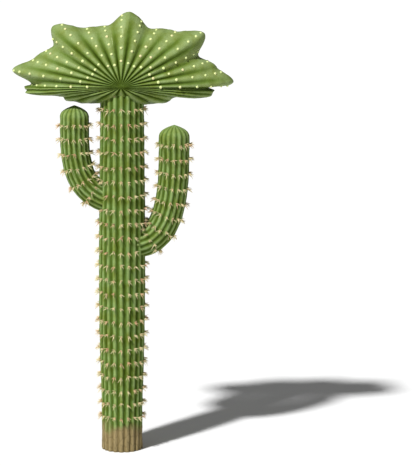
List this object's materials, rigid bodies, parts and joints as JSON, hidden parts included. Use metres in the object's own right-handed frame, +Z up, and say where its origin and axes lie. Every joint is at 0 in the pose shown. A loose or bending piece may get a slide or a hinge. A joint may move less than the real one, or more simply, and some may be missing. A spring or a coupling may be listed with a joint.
{
  "type": "crested saguaro cactus",
  "caption": "Tall ribbed columnar cactus with upturned arms, clustered spines and a broad pleated fan-shaped crest on top of the trunk.",
  "frame": {"origin": "middle of the flat cut across the trunk's foot, at ground level", "axes": "+Z up along the trunk, the crest's broad front faces -Y, +X towards the lower of the arms"},
  "size_m": [2.2391, 0.65, 4.4852],
  "materials": {
    "trunk_flesh": "waxy, satin",
    "arm_flesh": "waxy, satin",
    "crest_flesh": "waxy, satin",
    "spines": "dry, matt",
    "areole_wool": "felted, matt"
  },
  "bodies": {
    "root": {"trunk": "trunk_flesh", "left_arm_lower": "arm_flesh", "left_arm_upper": "arm_flesh", "right_arm_lower": "arm_flesh", "right_arm_upper": "arm_flesh", "crest_left": "crest_flesh", "crest_upper_left": "crest_flesh", "crest_top": "crest_flesh", "crest_upper_right": "crest_flesh", "crest_right": "crest_flesh"}
  },
  "joints": []
}
